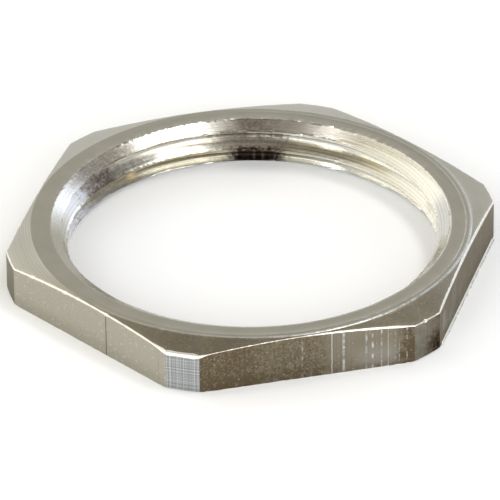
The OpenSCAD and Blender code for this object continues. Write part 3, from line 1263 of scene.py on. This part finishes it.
def thread_finish(colours, sizes):
    """Cut thread: crests and roots worn olive at the back, a painted reflection that makes them
    pale on the right, stains, painted shade deep in the groove, a painted dark reflection and a
    painted golden highlight.
    """
    f = Finish("thread_nickel")
    # Share of the pitch above the groove's middle. The four turns keep it above zero
    pitch = sizes.pitch / MM
    rise = f.minus(f.height, f.times(f.turn, pitch))
    phase = f.math("FRACT", f.math("ADD", f.over(rise, pitch), 4.0 + sizes.start / math.tau))
    cut = f.lines(f.times(phase, pitch), Lines=12.0, Breakup=0.06, Low=0.4, High=0.6)
    fine = f.mottle(Scale=3.0, Detail=4.0, Low=0.4, High=0.62, Seed=8.0)
    grain = f.speckle(Scale=2.6, Size=0.22, Share=0.25)
    patches = f.mottle(Scale=0.5, Detail=3.0, Low=0.4, High=0.6, Seed=5.0)
    tone = f.lay(colours.bright, colours.nickel, f.round_tone(PLAIN_ROUND))
    tone = f.lay(tone, colours.olive, cut, 0.22)

    # Worn crests and roots, less so high up, and low down the upper flank too
    flank, upper = f.span(phase, *LOWER_FLANK), f.span(phase, *UPPER_FLANK)
    round_worn = f.round_tone(WORN_ROUND)
    worn = f.minus(1.0, f.greatest(flank, upper))
    worn = f.times(worn, f.fade(f.height, 1.8, 2.3, 1.0, 0.25))
    worn = f.total(worn, f.times(upper, f.fade(f.height, 1.6, 1.9, 0.75, 0.0)))
    tone = f.lay(tone, colours.olive, worn, f.total(0.8, f.times(patches, 0.2)), round_worn)
    # Painted shade: the deepest part of the groove is darkened, low down and below the countersink
    deep = f.greatest(f.fade(phase, 0.86, 0.93), f.fade(phase, 0.045, 0.07, 1.0, 0.0))
    low_groove_shade = f.times(deep, f.fade(f.height, 0.85, 1.05, 1.0, 0.0))
    tone = f.lay(tone, colours.tarnish_and_shade, low_groove_shade, round_worn, 0.35)
    # Painted reflection: crests, roots and upper flanks on the right are made lighter
    tone = f.lay(tone, colours.polish_and_highlight, f.minus(1.0, flank), f.round_tone(PAINTED_REFLECTION_ROUND), 0.8)
    gold = f.times(upper, f.fade(phase, 0.3, 0.4), f.fade(f.height, 2.6, 2.9))
    tone = f.lay(tone, colours.brass, gold, round_worn, 0.8)

    # Painted shade deep in the groove, stains and the dull band between them, a painted dark
    # reflection and a painted golden highlight
    uneven = f.minus(fine, 0.5)
    # Painted shade in the groove's deep part and on its upper flank below the countersink
    dark = f.times(f.patch(DEEP_GROOVE_SHADE, 0.03, uneven), f.greatest(deep, upper))
    tone = f.lay(tone, colours.tarnish_and_shade, dark, f.total(0.7, f.times(fine, 0.3)), 0.85)
    band = f.times(f.span(phase, *BAND_ON_FLANK), f.patch(BAND, 0.03))
    scored = f.total(0.5, f.times(cut, 0.3))
    tone = f.lay(tone, colours.olive, band, scored)
    tone = f.lay(tone, colours.stain, wall_stains(f, THREAD_STAINS))
    # Painted dark reflection: the darkest patch low in the groove at the back
    soot_and_shade = f.patch(DARK_REFLECTION, 0.016, f.times(uneven, 0.5))
    upright = f.lines(f.times(f.turn, BORE_GIRTH), Lines=3.0, Breakup=0.2, Low=0.5, High=0.7)
    tone = f.lay(tone, colours.soot_and_shade, soot_and_shade, f.total(0.98, f.times(upright, -0.2)))
    tone = f.lay(tone, colours.polish_and_highlight, grain, flank, f.minus(1.0, soot_and_shade), 0.5)
    # Painted highlight: a golden glint in the lower groove
    tone = f.lay(tone, colours.painted_glint, f.patch(PAINTED_GLINT, 0.008), scored)
    f.finish(tone, f.total(0.18, f.times(fine, 0.08)), (cut, 0.006), (grain, 0.004))


# Operators


class LOCKNUT_OT_finishes(bpy.types.Operator):
    """Mixes the finishes of the nut's surfaces"""

    bl_idname = "locknut.finishes"
    bl_label = "Mix finishes"

    def execute(self, context):
        for group in (
            round_axis_group,
            mottle_group,
            lines_group,
            speckle_group,
            streak_group,
            along_flat_group,
            patch_group,
        ):
            group()
        colours = context.scene.locknut_colours
        for finish in (turned_finish, flat_finish, corner_finish, lower_finish, edge_finish):
            finish(colours)
        mouth_finish(colours)
        thread_finish(colours, context.scene.locknut_thread)
        return {"FINISHED"}


class LOCKNUT_OT_nut(bpy.types.Operator):
    """Turns the hexagon blank and cuts its thread"""

    bl_idname = "locknut.nut"
    bl_label = "Make nut"

    def execute(self, context):
        sizes = context.scene.locknut_sizes
        thread = context.scene.locknut_thread
        made = turned_blank(sizes, thread.mouth_radius)
        blank = bpy.data.objects.new("turned_blank", made)
        context.scene.collection.objects.link(blank)
        for name in FACES:
            blank.data.materials.append(bpy.data.materials[name + "_nickel"])
        modifier = blank.modifiers.new("Threaded wall", "NODES")
        modifier.node_group = thread_tree()
        set_inputs(
            modifier,
            {
                "Columns": sizes.columns,
                "Rows": thread.rows,
                "Height": sizes.thickness,
                "Crest Radius": thread.crest_radius,
                "Root Radius": thread.root_radius,
                "Pitch": thread.pitch,
                "Flank Rise": math.tan(thread.flank_angle / 2),
                "Start": thread.start / math.tau,
                "Mouth Radius": thread.mouth_radius,
                "Mouth Slope": math.tan(thread.mouth_angle / 2),
                "Rim Burr": thread.rim_burr,
                "Crest Burr": thread.crest_burr,
                "Offset X": thread.offset[0],
                "Offset Y": thread.offset[1],
                "Bead Length": thread.bead_length,
                "Thread Finish": bpy.data.materials["thread_nickel"],
                "Mouth Finish": bpy.data.materials["mouth_nickel"],
            },
        )
        graph = context.evaluated_depsgraph_get()
        mesh = bpy.data.meshes.new_from_object(blank.evaluated_get(graph), depsgraph=graph)
        if not mesh.polygons:
            raise RuntimeError("the threaded wall's tree gave no faces")
        bpy.data.objects.remove(blank)
        nut = bpy.data.objects.new("nickel_locknut", mesh)
        context.scene.collection.objects.link(nut)
        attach(nut, "root")
        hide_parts(NODE)
        return {"FINISHED"}


# Directions here are told as the camera sees them: x to the right, y away, z up
VIEW_TURN = math.radians(-13.96)
# From the nut to each soft light, in metres
LIGHT_DISTANCE = 1.0
WHITE, IVORY = (1, 1, 1), (1, 0.95, 0.76)
# Name, direction, direction of its length, width and length, brightness, colour
SOFT_LIGHTS = (
    ("soft_light_right", (0.371, 0.037, 0.928), (-0.361, 0.930, 0.106), (0.27, 0.62), 5.2, WHITE),
    ("strip_light_left", (-0.286, 0.24, 0.928), (0.67, 0.74, 0.0), (0.035, 0.2), 7.0, WHITE),
    ("panel_left", (-0.629, 0.389, 0.673), (-0.42, 0.89, 0.13), (0.70, 0.925), 0.72, IVORY),
    ("panel_right", (0.71, 0.594, 0.379), (0, 1, 0), (0.3, 0.35), 0.68, (0.50, 0.62, 1.0)),
    ("panel_back_right", (0.46, 0.73, 0.48), (0, 1, 0), (0.24, 0.25), 1.7, (0.70, 0.78, 1.0)),
    ("panel_front", (0.0, -0.86, 0.50), (0, 1, 0), (1.3, 0.5), 2.6, WHITE),
    ("panel_low_right", (0.653, -0.726, 0.216), (0, 0, 1), (0.8, 0.3), 3.5, WHITE),
    ("strip_low_left", (-0.673, -0.704, 0.223), (0, 0, 1), (0.09, 0.3), 14.0, WHITE),
    ("panel_low_left", (-0.945, -0.02, 0.315), (0, 0, 1), (1.0, 0.26), 1.8, (1, 0.94, 0.76)),
)
# Colours of the room: 0 is level with the nut, 1 overhead
ROOM_TONES = (
    (0.0, (1.02, 1.03, 1.02)),
    (0.48, (0.87, 0.87, 0.85)),
    (0.62, (0.70, 0.69, 0.66)),
    (0.75, (0.52, 0.49, 0.44)),
    (0.87, (0.38, 0.34, 0.28)),
    (1.0, (0.24, 0.20, 0.16)),
)
# The duller part of the room: from where to the right, from what height, and how much duller
DULL_SIDE, DULL_HEIGHT, DULL_SHARE = (0.35, 0.7), (0.45, 0.6), 0.55
# Half a side of the floor, in metres
FLOOR_REACH = 3.0
# The camera: place in metres, turns in degrees, and the width of its sensor in millimetres
CAMERA_PLACE = (-0.10555326, -0.42465779, 0.26959725)
CAMERA_TURN = (58.4573554, 0.51188791, -14.25932906)
SENSOR_WIDTH = 36.0


def soft_light(name, toward, along, size, glow, colour):
    """A soft rectangular light that faces the nut, of a brightness as seen in a mirror."""
    lamp = bpy.data.lights.new(name, "AREA")
    lamp.shape = "RECTANGLE"
    lamp.size, lamp.size_y = size
    lamp.energy = glow * math.pi * size[0] * size[1]
    lamp.color = colour
    holder = bpy.data.objects.new(name, lamp)
    bpy.context.scene.collection.objects.link(holder)
    back, length = Vector(toward).normalized(), Vector(along)
    length = (length - length.dot(back) * back).normalized()
    width = length.cross(back)
    axes = Matrix((width, length, back)).transposed().to_4x4()
    turn = Matrix.Rotation(VIEW_TURN, 4, "Z")
    holder.matrix_world = turn @ Matrix.Translation(back * LIGHT_DISTANCE) @ axes


def studio_room(strength):
    """Even light of the room: pale low down, dark brown overhead, duller on the right."""
    world = bpy.data.worlds.new("studio_room")
    world.use_nodes = True
    t = Tree(world.node_tree)
    direction = t.add("ShaderNodeTexCoord").outputs["Generated"]
    turned = t.add(
        "ShaderNodeVectorRotate",
        {"Vector": direction, "Angle": -VIEW_TURN},
        rotation_type="Z_AXIS",
    ).outputs[0]
    part = t.parts(turned)
    ramp = t.add("ShaderNodeValToRGB", {0: part["Z"]})
    set_stops(ramp, ROOM_TONES)
    dull = t.times(t.fade(part["X"], *DULL_SIDE), t.fade(part["Z"], *DULL_HEIGHT), DULL_SHARE)
    level = t.times(t.minus(1.0, dull), strength)
    back = world.node_tree.nodes["Background"]
    t.feed(back.inputs["Color"], ramp.outputs[0])
    t.feed(back.inputs["Strength"], level)
    return world


class LOCKNUT_OT_stage(bpy.types.Operator):
    """Sets the floor, the soft light and the camera"""

    bl_idname = "locknut.stage"
    bl_label = "Set stage"

    def execute(self, context):
        scene = context.scene
        settings = scene.locknut_stage
        mesh = bpy.data.meshes.new("floor")
        far = FLOOR_REACH
        corners = [(-far, -far, 0), (far, -far, 0), (far, far, 0), (-far, far, 0)]
        mesh.from_pydata(corners, [], [(0, 1, 2, 3)])
        floor = bpy.data.objects.new("floor", mesh)
        scene.collection.objects.link(floor)
        paint = bpy.data.materials.new("floor_paint")
        paint.use_nodes = True
        shader = paint.node_tree.nodes["Principled BSDF"]
        shader.inputs["Base Color"].default_value = settings.floor_colour
        shader.inputs["Roughness"].default_value = 0.9
        shader.inputs["Specular IOR Level"].default_value = 0.1
        mesh.materials.append(paint)

        for name, toward, along, size, glow, colour in SOFT_LIGHTS:
            soft_light(name, toward, along, size, glow * settings.soft_strength, colour)
        scene.world = studio_room(settings.room_strength)

        lens = bpy.data.cameras.new("camera")
        lens.lens = settings.lens
        lens.sensor_width = SENSOR_WIDTH
        lens.clip_start, lens.clip_end = 0.01, 10.0
        camera = bpy.data.objects.new("camera", lens)
        scene.collection.objects.link(camera)
        camera.location = CAMERA_PLACE
        camera.rotation_euler = Euler([math.radians(x) for x in CAMERA_TURN])
        scene.camera = camera
        scene.view_settings.view_transform = "Standard"
        return {"FINISHED"}


class LOCKNUT_PT_panel(bpy.types.Panel):
    """Steps and settings of the locknut"""

    bl_idname = "LOCKNUT_PT_panel"
    bl_label = "Cable gland locknut"
    bl_space_type = "VIEW_3D"
    bl_region_type = "UI"
    bl_category = "Locknut"

    def draw(self, context):
        layout = self.layout
        for step in STEPS:
            layout.operator(step.bl_idname)
        for name, kind in SETTINGS.items():
            box = layout.box()
            box.label(text=kind.__doc__)
            for key in kind.__annotations__:
                box.prop(getattr(context.scene, name), key)


STEPS = (LOCKNUT_OT_finishes, LOCKNUT_OT_nut, LOCKNUT_OT_stage)
SETTINGS = {
    "locknut_sizes": NutSizes,
    "locknut_thread": ThreadSizes,
    "locknut_colours": FinishColours,
    "locknut_stage": StageSettings,
}
CLASSES = (*SETTINGS.values(), *STEPS, LOCKNUT_PT_panel)


def register():
    for kind in CLASSES:
        bpy.utils.register_class(kind)
    for name, kind in SETTINGS.items():
        setattr(bpy.types.Scene, name, bpy.props.PointerProperty(type=kind))


def unregister():
    for name in SETTINGS:
        delattr(bpy.types.Scene, name)
    for kind in reversed(CLASSES):
        bpy.utils.unregister_class(kind)


def main():
    register()
    bpy.ops.locknut.finishes()
    bpy.ops.locknut.nut()
    bpy.ops.locknut.stage()


if __name__ == "__main__":
    main()
